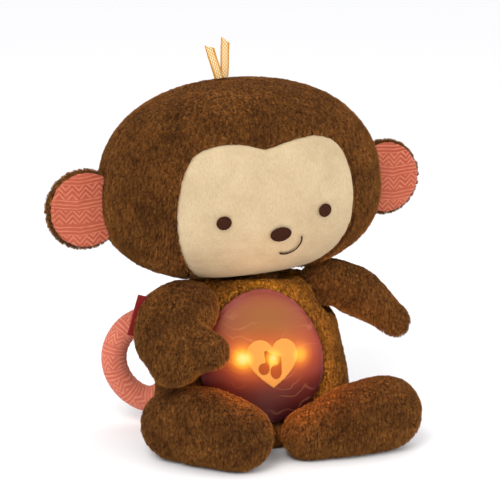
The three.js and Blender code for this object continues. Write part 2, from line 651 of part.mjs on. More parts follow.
function buildLimbs() {
  const forward = new THREE.Vector3(0, -1, 0);
  const up = new THREE.Vector3(0, 0, 1);

  const rightArm = route([RIGHT_SHOULDER.centre.toArray(), [-67, -38, 89], [-67, -47, 76], [-48, -62, 79]]);
  const rightArmRadius = smoothBlend([RIGHT_SHOULDER.radius, 23, 22.5, 15]);
  const rightArmSolid = stuffedTube(rightArm, rightArmRadius, forward);
  const rightArmCleared = clearOfBelly(clearOfTorso(rightArmSolid, RIGHT_SHOULDER, []), RIGHT_SHOULDER);
  addPiece('arm_right', rightArmCleared, COLOUR.plush);

  const leftArm = route([LEFT_SHOULDER.centre.toArray(), [75, -16, 97], [97, -22, 82]]);
  const leftArmSolid = stuffedTube(leftArm, smoothBlend([LEFT_SHOULDER.radius, 19, 13.5]), forward);
  addPiece('arm_left', clearOfTorso(leftArmSolid, LEFT_SHOULDER, [10, 20]), COLOUR.plush);

  const rightLeg = route([RIGHT_HIP.centre.toArray(), [-47, -56, 26.8], [-30, -73, 23.8]]);
  const rightLegSolid = stuffedTube(rightLeg, smoothBlend([RIGHT_HIP.radius, 26.5, 23.5]), up);
  addPiece('leg_right', clearOfTorso(rightLegSolid, RIGHT_HIP, []), COLOUR.plush);

  const leftLeg = route([LEFT_HIP.centre.toArray(), [50, -62, 24.3], [80, -55, 26.3]]);
  const leftLegSolid = stuffedTube(leftLeg, smoothBlend([LEFT_HIP.radius, 24, 26]), up);
  addPiece('leg_left', clearOfTorso(leftLegSolid, LEFT_HIP, []), COLOUR.plush);

  const lean = new THREE.Matrix4().makeRotationY(TAG_LEAN).setPosition(TAG_CENTRE);
  const outline = roundedShape(TAG_WIDTH, TAG_LENGTH, 0.6, 0, 0);
  const band = prism(outline, -TAG_THICKNESS / 2, TAG_THICKNESS / 2, 2);
  const sleeve = stuffedTube(rightArm, (t) => rightArmRadius(t) + GAP, forward);
  addPiece('woven_tag', band.transform(lean.elements).subtract(sleeve), COLOUR.tag, 0.7);
}

function buildTail() {
  const across = new THREE.Vector3(Math.cos(TAIL_FACING), -Math.sin(TAIL_FACING), 0);
  const facing = new THREE.Vector3(Math.sin(TAIL_FACING), Math.cos(TAIL_FACING), 0);
  const points = [TAIL_ROOT];
  for (let angle = 258; angle >= 82; angle -= 22) {
    const turned = THREE.MathUtils.degToRad(angle);
    const rise = new THREE.Vector3(0, 0, TAIL_RING_RADIUS * Math.sin(turned));
    points.push(TAIL_CENTRE.clone().addScaledVector(across, TAIL_RING_RADIUS * Math.cos(turned)).add(rise));
  }
  const curve = new THREE.CatmullRomCurve3(points);
  const sections = { around: 14, along: 28, capShare: 0.1 };
  const tube = stuffedTube(curve, smoothBlend([9.5, 9.5, 9]), facing, sections);
  addPiece('tail', tube.subtract(torsoBody(LIMB_CLEARANCE)), COLOUR.cotton);
}

buildTorso();
buildBelly();
buildCase();
buildPress();
buildElectronics();
buildBatteries();
buildBackFlap();
buildHead();
buildLimbs();
buildTail();

export default toy;
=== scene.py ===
"""Looks of a sitting plush monkey with a light-up belly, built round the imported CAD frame.

Everything is in metres in the frame's own axes: +Z is up, the monkey faces -Y and its left
hand is on +X. Each soft piece starts as a copy of its plain CAD solid, remeshed and smoothed.
The body, head and limbs are then puffed up by a cloth simulation with their seams held. The
seams, creases and clumps of pile are real relief on the mesh, and the strands on top are hair.
"""

import math

import bpy
import numpy as np
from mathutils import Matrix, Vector, noise
from mathutils.bvhtree import BVHTree


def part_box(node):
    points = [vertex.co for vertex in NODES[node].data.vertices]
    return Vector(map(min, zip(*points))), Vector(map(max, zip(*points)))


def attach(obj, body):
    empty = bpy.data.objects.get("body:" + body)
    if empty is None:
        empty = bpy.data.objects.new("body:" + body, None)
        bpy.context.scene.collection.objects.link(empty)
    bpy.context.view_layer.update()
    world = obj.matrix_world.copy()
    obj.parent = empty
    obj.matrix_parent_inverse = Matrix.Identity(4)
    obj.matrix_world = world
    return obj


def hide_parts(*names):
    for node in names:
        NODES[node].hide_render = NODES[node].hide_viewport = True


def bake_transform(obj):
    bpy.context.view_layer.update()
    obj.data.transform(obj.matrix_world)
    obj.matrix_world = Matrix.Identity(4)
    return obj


MM = 0.001

# ---- the view ----
CAMERA_AZIMUTH = -16  # degrees from the front, to the monkey's right
CAMERA_ELEVATION = 12  # degrees above the floor
CAMERA_DISTANCE = 1.2
CAMERA_AIM = Vector((0, 0, 0.130))
CAMERA_LENS = 123.4
CAMERA_SHIFT = (-0.004, 0.010)
FLOOR_REACH = 6.0
LAMP_AIM = (0, 0, 0.13)

# ---- pile and covers ----
COVER_VOXEL = 4 * MM
PILE_LENGTH = 2.2 * MM
PILE_SINK = 1.2 * MM  # the cover lies this far inside the CAD surface, which the pile fills
PILE_SPACING = 2.4 * MM  # between parent strands
PILE_WIDTH = 0.17 * MM
STRAND_TIME = 4  # a strand is as long as its starting speed times this
CLUMP_RELIEF = 0.26 * MM
CLUMP_CELLS = (620, 620, 300)  # clumps per metre along X, Y and Z
PUFF_LIMIT = 2.2 * MM  # the most that the stuffing moves a point
PUFF_FRAMES = 20
WEIGHT_LEVELS = 20
RELAX_IN, RELAX_OUT = 0.6, -0.61  # the smoothing step, and the one that undoes its shrinking
SEED_STEPS = (17.3, 5.1, 9.7)  # how far one seed lies from the next in the noise
TORSO_SIDE_SEAM = 2 * MM  # its place along Y
TORSO_BACK_SEAM = 3 * MM  # its place along X

# ---- prints and stitches ----
ABOVE_ZERO = 0.05  # added to the marks u and v, so that a pattern doesn't turn round at zero
STITCH_PITCH = 0.62 * MM
MOUTH_SCALE = 0.9
MOUTH_SINK = -0.32 * MM
EAR_DISH_RADIUS = 26 * MM
EAR_DISH_DEPTH = 0.9 * MM
TAIL_PLEATS = 30
TAIL_PRINT_RADIUS = 31 * MM

# ---- the woven tag ----
TAG_WIDTH = 11 * MM
TAG_LENGTH = 28 * MM
TAG_LEAN = 0.28  # radians from upright
TAG_LEAF_GAP = 1.2 * MM
TAG_CLOTH = 0.4 * MM

# ---- the belly ----
LED_SHARES = (1.25, 1.0, 0.92)  # how strongly each light shows through the cover
BELLY_OVERLAP = 0.018  # the rim of the panel runs this share further, in under the pile
EGG_TAPER = 0.12  # the egg narrows by this share towards its top
PIPING_AT = 0.955  # the groove inside the rim, as a share of the way out
NOTE_SIDES = 28
NOTE_FRONT, NOTE_BACK = -0.1, 0.0  # the sheets in Y that the note is cut from

# ---- places, worked out from the frame ----
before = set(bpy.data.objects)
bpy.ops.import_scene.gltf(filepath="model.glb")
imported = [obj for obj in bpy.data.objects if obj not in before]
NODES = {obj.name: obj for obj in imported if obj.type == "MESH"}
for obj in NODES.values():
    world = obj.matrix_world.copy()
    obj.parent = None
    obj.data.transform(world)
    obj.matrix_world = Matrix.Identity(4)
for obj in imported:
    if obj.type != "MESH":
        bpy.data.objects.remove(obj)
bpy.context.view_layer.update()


def middle(node):
    low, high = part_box(node)
    return (low + high) / 2


LED_SPOTS = [middle(f"led_{side}") for side in ("right", "middle", "left")]
BELLY_LOW, BELLY_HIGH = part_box("belly_panel")
BELLY_MIDDLE = middle("belly_panel")
TAIL_LOW, TAIL_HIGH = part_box("tail")


# ---- mesh tools ----
def add_object(name, mesh):
    thing = bpy.data.objects.new(name, mesh)
    bpy.context.scene.collection.objects.link(thing)
    return thing


def built(name, corners, faces):
    """An object made from points and lists of point numbers."""
    mesh = bpy.data.meshes.new(name)
    mesh.from_pydata(corners, [], faces)
    return add_object(name, mesh)


def copy_of(node, name):
    """A copy of a CAD node's mesh without its materials, so that the node itself stays."""
    mesh = NODES[node].data.copy()
    mesh.materials.clear()
    return add_object(name, mesh)


def settle(thing):
    """Makes what the object's modifiers give its own mesh."""
    graph = bpy.context.evaluated_depsgraph_get()
    mesh = bpy.data.meshes.new_from_object(thing.evaluated_get(graph))
    thing.modifiers.clear()
    thing.data = mesh
    return thing


def points_of(thing):
    flat = np.empty(len(thing.data.vertices) * 3)
    thing.data.vertices.foreach_get("co", flat)
    return flat.reshape(-1, 3)


def normals_of(thing):
    flat = np.empty(len(thing.data.vertices) * 3)
    thing.data.vertices.foreach_get("normal", flat)
    return flat.reshape(-1, 3)


def set_points(thing, points):
    thing.data.vertices.foreach_set("co", points.ravel())
    thing.data.update()


def voxelised(thing, voxel, smooth):
    modifier = thing.modifiers.new("voxels", "REMESH")
    modifier.mode = "VOXEL"
    modifier.voxel_size = voxel
    modifier.use_smooth_shade = smooth
    return settle(thing)


def remeshed(node, name, voxel):
    return voxelised(copy_of(node, name), voxel, True)


def refined(thing, levels):
    modifier = thing.modifiers.new("rounding", "SUBSURF")
    modifier.levels = levels
    modifier.render_levels = levels
    return settle(thing)


def relaxed(thing, rounds):
    """Smooths facets away. Each pass is followed by one that undoes its shrinking."""
    mesh = thing.data
    edges = np.empty(len(mesh.edges) * 2, dtype=np.int64)
    mesh.edges.foreach_get("vertices", edges)
    edges = edges.reshape(-1, 2)
    points = points_of(thing)
    total = len(points)
    neighbours = np.maximum(np.bincount(edges.ravel(), minlength=total), 1)
    for step in range(2 * rounds):
        share = RELAX_IN if step % 2 == 0 else RELAX_OUT
        around = np.empty_like(points)
        for axis in range(3):
            first = np.bincount(edges[:, 0], points[edges[:, 1], axis], total)
            second = np.bincount(edges[:, 1], points[edges[:, 0], axis], total)
            around[:, axis] = (first + second) / neighbours
        points += share * (around - points)
    set_points(thing, points)
    return thing


def push(thing, amounts):
    """Moves each point along its normal by its amount."""
    offset = np.asarray(amounts).reshape(-1, 1) * normals_of(thing)
    set_points(thing, points_of(thing) + offset)


def noise_at(points, scale, seed):
    """Smooth noise from -1 to 1 at each point; scale is cells per metre along X, Y and Z."""
    shift = Vector([seed * step for step in SEED_STEPS])
    cells = points * np.array(scale)
    return np.array([noise.noise(Vector(cell) + shift) for cell in cells])


def bell(distance, width):
    """1 at no distance, falling away smoothly to about a third at this width."""
    return np.exp(-((distance / width) ** 2))


TREES = {}


def tree_of(node):
    """A search tree of a CAD node's faces, made once."""
    if node not in TREES:
        mesh = NODES[node].data
        corners = [vertex.co for vertex in mesh.vertices]
        TREES[node] = BVHTree.FromPolygons(corners, [list(face.vertices) for face in mesh.polygons])
    return TREES[node]


def gap_to(points, nodes, reach):
    """How far each point is from the nearest of these CAD nodes, up to reach."""
    gaps = np.full(len(points), reach)
    for tree in map(tree_of, nodes):
        for index, point in enumerate(points):
            found = tree.find_nearest(Vector(point), reach)
            if found[0] is not None:
                gaps[index] = min(gaps[index], found[3])
    return gaps


def mark(thing, name, values):
    """Stores a number for each point that the materials and the hair can read."""
    attribute = thing.data.attributes.new(name, "FLOAT", "POINT")
    attribute.data.foreach_set("value", np.asarray(values, dtype=np.float32))


def group_of(thing, name, weights):
    """A vertex group with these weights, rounded to a few levels so that it is quick to fill."""
    group = thing.vertex_groups.new(name=name)
    levels = np.round(np.clip(weights, 0, 1) * WEIGHT_LEVELS).astype(int)
    for level in range(1, WEIGHT_LEVELS + 1):
        members = np.nonzero(levels == level)[0].tolist()
        if members:
            group.add(members, level / WEIGHT_LEVELS, "REPLACE")


def puffed(covers):
    """Inflates the covers together in one cloth simulation, with their pinned points held."""
    starts = {}
    for thing in covers:
        starts[thing] = points_of(thing)
        cloth = thing.modifiers.new("stuffing", "CLOTH")
        cloth.settings.quality = 4
        cloth.settings.use_pressure = True
        cloth.settings.uniform_pressure_force = 4
        cloth.settings.effector_weights.gravity = 0
        cloth.settings.vertex_group_mass = "held"
        cloth.settings.tension_stiffness = 25
        cloth.settings.bending_stiffness = 0.5
        cloth.collision_settings.use_collision = False
        cloth.point_cache.frame_end = PUFF_FRAMES
    for step in range(1, PUFF_FRAMES + 1):
        bpy.context.scene.frame_set(step)
    graph = bpy.context.evaluated_depsgraph_get()
    for thing in covers:
        moved = points_of(thing.evaluated_get(graph))
        travel = moved - starts[thing]
        length = np.linalg.norm(travel, axis=1, keepdims=True)
        travel *= np.minimum(1, PUFF_LIMIT / np.maximum(length, 1e-9))
        thing.modifiers.clear()
        set_points(thing, starts[thing] + travel)
    bpy.context.scene.frame_set(1)


# ---- material tools ----
class Surface:
    """A node material with one Principled shader, and short ways to add the usual nodes."""

    def __init__(self, name, colour=None, **sockets):
        self.material = bpy.data.materials.new(name)
        self.material.use_nodes = True
        self.tree = self.material.node_tree
        self.shader = self.tree.nodes["Principled BSDF"]
        if colour is not None:
            self.set("Base Color", linear(colour))
        for socket, value in sockets.items():
            self.set(socket.replace("_", " "), value)

    def set(self, socket, value):
        self.shader.inputs[socket].default_value = value

    def node(self, kind, inputs=(), **settings):
        made = self.tree.nodes.new(kind)
        for key, value in settings.items():
            setattr(made, key, value)
        for key, value in dict(inputs).items():
            self.feed(made.inputs[key], value)
        return made

    def feed(self, socket, value):
        if isinstance(value, bpy.types.NodeSocket):
            self.tree.links.new(value, socket)
        else:
            socket.default_value = value

    def into(self, socket, value):
        self.feed(self.shader.inputs[socket], value)

    def math(self, operation, *values):
        return self.node("ShaderNodeMath", enumerate(values), operation=operation).outputs[0]

    def place(self):
        return self.node("ShaderNodeTexCoord").outputs["Object"]

    def noise(self, scale, detail=3, roughness=0.6, stretch=(1, 1, 1)):
        mapped = self.node("ShaderNodeMapping", {"Vector": self.place(), "Scale": stretch})
        inputs = {"Vector": mapped.outputs[0], "Scale": scale, "Detail": detail}
        inputs["Roughness"] = roughness
        return self.node("ShaderNodeTexNoise", inputs).outputs["Fac"]

    def mark(self, name):
        return self.node("ShaderNodeAttribute", attribute_name=name).outputs["Fac"]

    def ramp(self, value, stops):
        made = self.node("ShaderNodeValToRGB", {"Fac": value})
        elements = made.color_ramp.elements
        while len(elements) < len(stops):
            elements.new(0.5)
        for element, (position, colour) in zip(elements, stops):
            element.position = position
            element.color = linear(colour)
        return made.outputs["Color"]

    def blend(self, share, first, second, mode="MIX"):
        made = self.node("ShaderNodeMix", data_type="RGBA", blend_type=mode)
        self.feed(made.inputs["Factor"], share)
        self.feed(made.inputs["A"], first)
        self.feed(made.inputs["B"], second)
        return next(o for o in made.outputs if o.type == "RGBA")

    def bump(self, height, distance, strength):
        inputs = {"Height": height, "Distance": distance, "Strength": strength}
        self.into("Normal", self.node("ShaderNodeBump", inputs).outputs[0])

    def use_on(self, *things):
        for thing in things:
            thing.data.materials.clear()
            thing.data.materials.append(self.material)


def linear(colour):
    """An sRGB colour of 0 to 255 as the linear colour that the shaders take."""
    shares = [part / 255 for part in colour]
    low = [s / 12.92 for s in shares]
    high = [((s + 0.055) / 1.055) ** 2.4 for s in shares]
    return tuple(a if s <= 0.04045 else b for s, a, b in zip(shares, low, high)) + (1,)


# ---- materials ----
def combed(surface):
    """Light and dark patches and streaks, where the nap lies this way or that."""
    patches = surface.noise(38, 4)
    tone = surface.ramp(patches, [(0.34, (196, 193, 190)), (0.62, (255, 255, 255))])
    streaks = surface.noise(520, 3, 0.6, (1, 1, 0.3))
    streak = surface.ramp(streaks, [(0.36, (156, 152, 146)), (0.62, (255, 255, 255))])
    return surface.blend(1.0, tone, streak, "MULTIPLY")


def plush_cover():
    """What shows of the cover itself: the short dense pile, as colour and bump. Its colour is the
    pile's brown with painted shade in the pits between clumps and painted light on their tops.
    """
    surface = Surface("plush_cover", Roughness=0.95, Sheen_Weight=0.12, Specular_IOR_Level=0.12)
    surface.set("Sheen Tint", linear((200, 120, 55)))
    clumps = surface.noise(650, 3, 0.65, (1, 1, 0.45))
    # Painted shade and light: darker where the clumps are low and lighter on their tops, following
    # the noise of the bump.
    pile_and_pit_shade = surface.ramp(clumps, [(0.33, (56, 30, 12)), (0.5, (118, 72, 31)), (0.68, (172, 114, 54))])
    surface.into("Base Color", surface.blend(1.0, pile_and_pit_shade, combed(surface), "MULTIPLY"))
    surface.bump(clumps, 0.8 * MM, 0.8)
    return surface


def pile_strands():
    """The strands on the cover: dark at the root and lighter at the tip, which is painted shade deep
    in the pile and painted light on the tips.
    """
    surface = Surface("pile_strands", Roughness=0.75, Sheen_Weight=0.12, Specular_IOR_Level=0.15)
    surface.set("Sheen Tint", linear((210, 125, 60)))
    strand = surface.node("ShaderNodeHairInfo")
    # Painted shade at the roots and painted light at the tips, along each strand.
    along = surface.ramp(strand.outputs["Intercept"], [
        (0.0, (68, 36, 14)), (0.45, (146, 91, 40)), (1.0, (214, 144, 70)),
    ])
    each = surface.ramp(strand.outputs["Random"], [(0.0, (198, 196, 192)), (1.0, (255, 255, 255))])
    varied = surface.blend(1.0, along, each, "MULTIPLY")
    surface.into("Base Color", surface.blend(1.0, varied, combed(surface), "MULTIPLY"))
    return surface


def velour():
    surface = Surface("velour", Roughness=0.95, Sheen_Weight=0.12, Specular_IOR_Level=0.15)
    surface.set("Sheen Tint", linear((255, 236, 205)))
    mottle = surface.noise(46, 4)
    colour = surface.ramp(mottle, [(0.3, (174, 155, 124)), (0.7, (188, 169, 137))])
    nap = surface.noise(1300, 3, 0.7, (1, 1, 0.3))
    streak = surface.ramp(nap, [(0.35, (241, 237, 231)), (0.6, (255, 255, 255))])
    surface.into("Base Color", surface.blend(1.0, colour, streak, "MULTIPLY"))
    surface.bump(nap, 0.25 * MM, 0.4)
    return surface


def thread():
    surface = Surface("thread", Roughness=0.8, Specular_IOR_Level=0.1)
    shade = surface.noise(900, 2)
    surface.into("Base Color", surface.ramp(shade, [(0.3, (40, 17, 8)), (0.7, (60, 28, 15))]))
    return surface


def printed_cotton(name, ground_colours, pale_colour):
    """Coral cotton with bands of paler stripes, chevrons and fans, laid out by the marks u and v."""
    surface = Surface(name, Roughness=0.85, Sheen_Weight=0.1, Specular_IOR_Level=0.2)
    u, v = surface.mark("u"), surface.mark("v")
    wobble = surface.math("MULTIPLY", surface.noise(90, 2), 2.2 * MM)
    v = surface.math("ADD", v, wobble)
    within = surface.math("FRACT", surface.math("DIVIDE", v, 17 * MM))
    zigzag = surface.math("PINGPONG", surface.math("DIVIDE", u, 4.6 * MM), 1.0)
    rise = surface.math("MULTIPLY", zigzag, 4.5 * MM)
    chevron = surface.math("FRACT", surface.math("DIVIDE", surface.math("ADD", v, rise), 3.6 * MM))
    chevron = surface.math("LESS_THAN", chevron, 0.45)
    stripes = surface.math("FRACT", surface.math("DIVIDE", v, 2.6 * MM))
    stripes = surface.math("LESS_THAN", stripes, 0.38)
    in_chevrons = surface.math("GREATER_THAN", within, 0.45)
    mixed = surface.node("ShaderNodeMix", {0: in_chevrons, 2: stripes, 3: chevron}).outputs[0]
    worn = surface.math("MULTIPLY", mixed, surface.math("MULTIPLY", surface.noise(260, 2), 1.5))
    worn = surface.math("MINIMUM", worn, 1.0)
    ground = surface.ramp(surface.noise(45, 3), [(0.3, ground_colours[0]), (0.7, ground_colours[1])])
    surface.into("Base Color", surface.blend(worn, ground, linear(pale_colour)))
    weave = surface.node("ShaderNodeTexWave", {"Vector": surface.place(), "Scale": 900.0})
    surface.bump(weave.outputs["Fac"], 0.1 * MM, 0.35)
    return surface


def gold_ribbon():
    """Woven ribbon: plain edges and a checked middle, laid out by the marks u (across) and v."""
    surface = Surface("gold_ribbon", Roughness=0.55, Sheen_Weight=0.1, Specular_IOR_Level=0.3)
    across, along = surface.mark("u"), surface.mark("v")
    first = surface.math("PINGPONG", surface.math("DIVIDE", across, 1.0 * MM), 1.0)
    second = surface.math("PINGPONG", surface.math("DIVIDE", along, 1.3 * MM), 1.0)
    checks = surface.math("ABSOLUTE", surface.math("SUBTRACT", first, second))
    inside = surface.math("LESS_THAN", surface.math("ABSOLUTE", across), 2.0 * MM)
    checks = surface.math("MULTIPLY", checks, inside)
    colour = surface.ramp(checks, [(0.15, (186, 130, 40)), (0.6, (246, 232, 190))])
    surface.into("Base Color", colour)
    surface.bump(checks, 0.2 * MM, 0.7)
    return surface


def red_tag():
    surface = Surface("red_tag", Roughness=0.75, Sheen_Weight=0.05, Specular_IOR_Level=0.2)
    inputs = {"Vector": surface.place(), "Scale": 700.0}
    ribs = surface.node("ShaderNodeTexWave", inputs, bands_direction="Z").outputs["Fac"]
    colour = surface.ramp(ribs, [(0.2, (92, 10, 10)), (0.8, (126, 20, 18))])
    surface.into("Base Color", colour)
    surface.bump(ribs, 0.12 * MM, 0.6)
    return surface


def glow_near_lights(surface, width):
    """1 in front of a light of full share, falling away over width, and summed over the lights."""
    parts = surface.node("ShaderNodeSeparateXYZ", {0: surface.place()})
    total = 0.0
    for spot, share in zip(LED_SPOTS, LED_SHARES):
        across = surface.math("POWER", surface.math("SUBTRACT", parts.outputs["X"], spot.x), 2.0)
        rise = surface.math("POWER", surface.math("SUBTRACT", parts.outputs["Z"], spot.z), 2.0)
        fade = surface.math("DIVIDE", surface.math("ADD", across, rise), -(width ** 2))
        glow = surface.math("MULTIPLY", surface.math("EXPONENT", fade), share)
        total = surface.math("ADD", glow, total)
    return total


def belly_skin():
    """The translucent cover, lit from behind.

    The mark u is 0 in the middle and 1 at the rim, and v is 0 at the foot and 1 at the top.
    """
    surface = Surface("belly_skin", Roughness=0.5, Specular_IOR_Level=0.25)
    rim = surface.mark("u")
    height = surface.mark("v")
    ground = surface.ramp(rim, [
        (0.0, (112, 72, 34)), (0.5, (134, 88, 46)), (0.84, (136, 72, 46)), (0.94, (128, 56, 48)),
        (0.985, (132, 60, 66)), (1.0, (150, 86, 88)),
    ])
    shade = surface.ramp(height, [
        (0.0, (122, 92, 150)), (0.25, (158, 106, 144)), (0.42, (210, 142, 140)),
        (0.6, (240, 200, 178)), (0.85, (255, 255, 215)),
    ])
    ground = surface.blend(1.0, ground, shade, "MULTIPLY")
    swirl_inputs = {"Vector": surface.place(), "Scale": 55.0, "Distortion": 11.0, "Detail": 1.5}
    swirl = surface.node("ShaderNodeTexWave", swirl_inputs, wave_type="RINGS").outputs["Fac"]
    line = surface.ramp(swirl, [(0.92, (0, 0, 0)), (0.99, (255, 255, 255))])
    where = surface.ramp(surface.noise(26, 1), [(0.47, (0, 0, 0)), (0.6, (110, 110, 110))])
    line = surface.blend(1.0, line, where, "MULTIPLY")
    surface.into("Base Color", surface.blend(line, ground, linear((206, 142, 96))))
    halo = surface.math("MULTIPLY", glow_near_lights(surface, 17 * MM), 0.62)
    core = surface.math("MULTIPLY", glow_near_lights(surface, 8.5 * MM), 0.8)
    halo_colour = surface.ramp(halo, [
        (0.0, (14, 3, 1)), (0.12, (58, 10, 2)), (0.35, (122, 34, 5)), (0.65, (180, 72, 8)),
        (1.0, (214, 112, 14)),
    ])
    core_colour = surface.ramp(core, [
        (0.0, (0, 0, 0)), (0.15, (50, 24, 1)), (0.45, (150, 98, 8)), (0.75, (235, 188, 40)),
        (1.0, (255, 240, 150)),
    ])
    surface.into("Emission Color", surface.blend(1.0, halo_colour, core_colour, "ADD"))
    surface.set("Emission Strength", 0.8)
    surface.bump(line, 0.2 * MM, 0.4)
    return surface


def heart_print():
    surface = Surface("heart_print", (184, 122, 56), Roughness=0.7, Specular_IOR_Level=0.2)
    core = surface.math("MULTIPLY", glow_near_lights(surface, 7 * MM), 0.9)
    colour = surface.ramp(core, [
        (0.0, (158, 96, 34)), (0.35, (168, 112, 30)), (0.75, (236, 196, 60)), (1.0, (255, 238, 150)),
    ])
    surface.into("Emission Color", colour)
    surface.set("Emission Strength", 0.75)
    surface.bump(surface.noise(700, 2), 0.1 * MM, 0.3)
    return surface


def note_print():
    surface = Surface("note_print", (140, 60, 14), Roughness=0.7, Specular_IOR_Level=0.2)
    core = glow_near_lights(surface, 6 * MM)
    colour = surface.ramp(core, [
        (0.0, (96, 34, 4)), (0.35, (150, 72, 6)), (0.7, (240, 180, 40)), (1.0, (255, 240, 140)),
    ])
    surface.into("Emission Color", colour)
    surface.set("Emission Strength", 0.85)
    return surface


def plain(name, colour, roughness, grain=0.1):
    """Fine-grained material of one colour, for wires, straps and the like."""
    surface = Surface(name, Roughness=roughness, Specular_IOR_Level=0.35)
    dark = tuple(0.8 * part for part in colour)
    shade = surface.noise(1500, 2)
    surface.into("Base Color", surface.ramp(shade, [(0.35, dark), (0.65, colour)]))
    surface.bump(shade, grain * MM, 0.5)
    return surface


def glowing(name, colour, strength):
    surface = Surface(name, colour, Roughness=0.3)
    surface.set("Emission Color", linear(colour))
    surface.set("Emission Strength", strength)
    return surface


def printed_cell():
    """A battery: a green wrap between two bare steel ends."""
    surface = Surface("printed_cell", Roughness=0.35)
    low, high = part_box("battery_1")
    parts = surface.node("ShaderNodeSeparateXYZ", {0: surface.place()})
    from_middle = surface.math("SUBTRACT", parts.outputs["Z"], (low.z + high.z) / 2)
    reach = surface.math("DIVIDE", surface.math("ABSOLUTE", from_middle), (high.z - low.z) / 2)
    wrap = surface.math("LESS_THAN", reach, 0.93)
    band = surface.math("LESS_THAN", parts.outputs["Z"], low.z + 16 * MM)
    label = surface.blend(band, linear((30, 96, 56)), linear((206, 186, 88)))
    surface.into("Base Color", surface.blend(wrap, linear((186, 188, 190)), label))
    surface.into("Metallic", surface.math("SUBTRACT", 1.0, wrap))
    surface.bump(surface.noise(900, 2), 0.04 * MM, 0.3)
    return surface


def circuit_green():
    """Solder mask with paler tracks."""
    surface = Surface("circuit_green", Roughness=0.35)
    inputs = {"Vector": surface.place(), "Scale": 260.0}
    cells = surface.node("ShaderNodeTexVoronoi", inputs, distance="MANHATTAN").outputs["Distance"]
    tracks = surface.ramp(cells, [(0.3, (24, 84, 44)), (0.42, (58, 128, 72))])
    surface.into("Base Color", tracks)
    surface.bump(cells, 0.06 * MM, 0.4)
    return surface


def moulded_plastic(name, colour, roughness):
    surface = Surface(name, Roughness=roughness)
    dark = tuple(0.93 * part for part in colour)
    surface.into("Base Color", surface.ramp(surface.noise(40, 2), [(0.3, dark), (0.7, colour)]))
    surface.bump(surface.noise(2600, 2), 0.12 * MM, 0.25)
    return surface


def metal(name, colour, roughness):
    surface = Surface(name, Metallic=1.0)
    dark = tuple(0.85 * part for part in colour)
    surface.into("Base Color", surface.ramp(surface.noise(60, 3), [(0.3, dark), (0.7, colour)]))
    grain = surface.noise(800, 2, 0.5, (1, 1, 0.15))
    wear = surface.math("ADD", surface.math("MULTIPLY", grain, 0.2), roughness)
    surface.into("Roughness", wear)
    surface.bump(grain, 0.03 * MM, 0.3)
    return surface


# ---- soft pieces ----
SOFT = {
    # new piece: (CAD node, body, CAD nodes of other bodies that it lies against)
    "torso_cover": ("torso_plush", "torso", [
        "arm_right", "arm_left", "leg_right", "leg_left", "belly_panel", "front_shell", "rear_shell",
        "press_plate", "neck_plush", "torso_hook_strip", "flap_loop_strip",
    ]),
    "head_cover": ("head_plush", "head", ["face_panel", "neck_plush"]),
    "arm_right_cover": ("arm_right", "arm_right", ["torso_plush"]),
    "arm_left_cover": ("arm_left", "arm_left", ["torso_plush"]),
    "leg_right_cover": ("leg_right", "leg_right", ["torso_plush"]),
    "leg_left_cover": ("leg_left", "leg_left", ["torso_plush"]),
}
BULGES = {
    # where a cover is stuffed out beyond its CAD solid, or slack: centre, direction, height, reach
    "torso_cover": [((-0.005, -0.024, 0.114), (0.0, -0.45, 0.89), 3.5 * MM, 24 * MM)],
    "arm_right_cover": [
        ((-0.074, -0.034, 0.107), (-0.65, -0.15, 0.75), 7.5 * MM, 27 * MM),
        ((-0.045, -0.042, 0.107), (0.40, -0.75, 0.52), 7.0 * MM, 20 * MM),
        ((-0.050, -0.062, 0.063), (0.30, -0.30, -0.90), -6.5 * MM, 17 * MM),
    ],
    "arm_left_cover": [
        ((0.062, -0.014, 0.120), (0.15, -0.15, 0.97), 5.0 * MM, 28 * MM),
        ((0.042, -0.014, 0.119), (-0.20, -0.30, 0.93), 4.0 * MM, 14 * MM),
        ((0.056, -0.018, 0.084), (-0.15, -0.15, -0.97), -9.0 * MM, 25 * MM),
        ((0.082, -0.022, 0.074), (-0.10, -0.15, -0.98), -3.5 * MM, 18 * MM),
    ],
}


def seam_distance(name, points):
    """How far each point of a cover is from its nearest seam."""
    if name == "head_cover":
        crown = middle("head_plush")
        return np.abs((points - np.array(crown)) @ across_head())
    if name == "torso_cover":
        side = np.abs(points[:, 1] - TORSO_SIDE_SEAM)
        back = np.where(points[:, 1] > 0, np.abs(points[:, 0] - TORSO_BACK_SEAM), 1.0)
        return np.minimum(side, back)
    low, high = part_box(SOFT[name][0])
    centre = (low + high) / 2
    if name == "arm_right_cover":
        lean = np.array([0.35, 0.94, 0.0])
        return np.abs((points - np.array(centre + Vector((0, 4 * MM, 0)))) @ lean)
    if name == "arm_left_cover":
        lean = np.array([-0.42, 0.0, -0.9])
        return np.abs((points - np.array(centre)) @ lean)
    return np.abs(points[:, 2] - (centre.z - 1.5 * MM))


def across_head():
    """The head's own front-to-back direction, found from the places of its two ears."""
    side = middle("ear_left_back") - middle("ear_right_back")
    side.z = 0
    side.normalize()
    return np.array([-side.y, side.x, 0.0])


def make_soft_covers():
    """The covers in SOFT, by name."""
    covers = {}
    for name, (node, _, near) in SOFT.items():
        cover = relaxed(remeshed(node, name, COVER_VOXEL), 12)
        points = points_of(cover)
        gap = gap_to(points, near, 5 * MM)
        free = np.clip((gap - 1.5 * MM) / (3 * MM), 0, 1)
        push(cover, bulge(name, points, normals_of(cover)) - PILE_SINK * (0.4 + 0.6 * free))
        seam = bell(seam_distance(name, points), 3 * MM)
        group_of(cover, "held", np.maximum(seam, 1 - free))
        covers[name] = cover
    puffed(list(covers.values()))
    for name, cover in covers.items():
        cover.vertex_groups.clear()
        refined(cover, 2)
        finish_cover(cover, name)
    return covers


